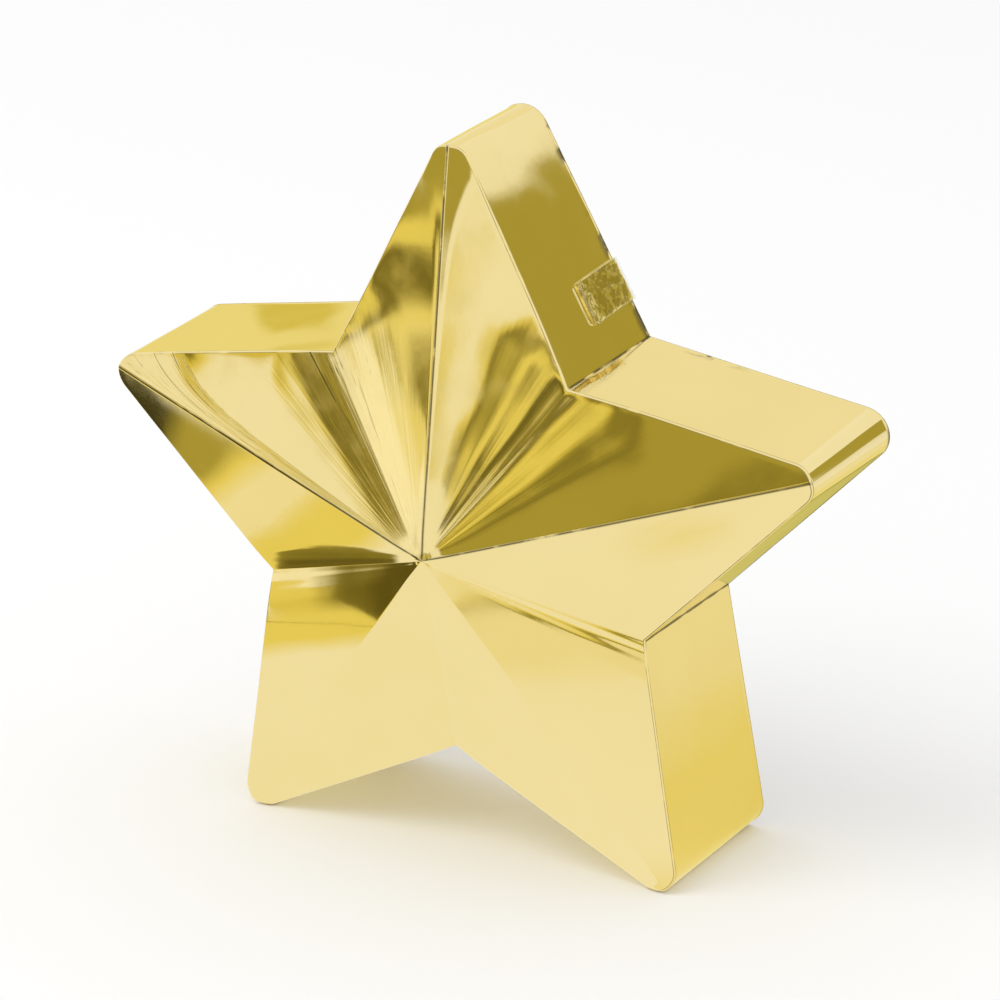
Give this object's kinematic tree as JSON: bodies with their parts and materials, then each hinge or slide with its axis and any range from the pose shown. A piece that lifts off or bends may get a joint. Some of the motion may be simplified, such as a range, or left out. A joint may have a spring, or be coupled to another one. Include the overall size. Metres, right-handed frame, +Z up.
{
  "type": "balloon weight",
  "caption": "Star-shaped balloon weight: a metallised faceted shell filled with plaster, closed by a board, with a film tie tab for the ribbon",
  "frame": {"origin": "on the floor, under the middle of the star's box, standing on its two lower points", "axes": "+Z up to the top point, -Y out of the faceted front, +X to the right seen from the front"},
  "size_m": [0.1048, 0.0366, 0.0998],
  "materials": {
    "gold_shell": "formed plastic sheet, vacuum-metallised to a gold mirror",
    "plaster": "cast plaster, matt",
    "board": "die-cut grey board",
    "hot_melt": "hot-melt glue, milky",
    "adhesive": "clear adhesive with trapped bubbles over the gold wall",
    "clear_film": "clear plastic film"
  },
  "bodies": {
    "star": {"star_shell": "gold_shell", "plaster_filling": "plaster", "back_board": "board", "glue_bead": "hot_melt", "tab_adhesive": "adhesive", "tab_stuck_end": "clear_film"},
    "tie_tab": {"tab_free_end": "clear_film"}
  },
  "joints": [
    {"name": "tab_fold", "type": "hinge", "parent": "star", "child": "tie_tab", "pos_m": [0.01431, 0.01179, 0.07743], "axis": [0.4594, 0.0774, -0.8848], "range_deg": [0, 150]}
  ]
}
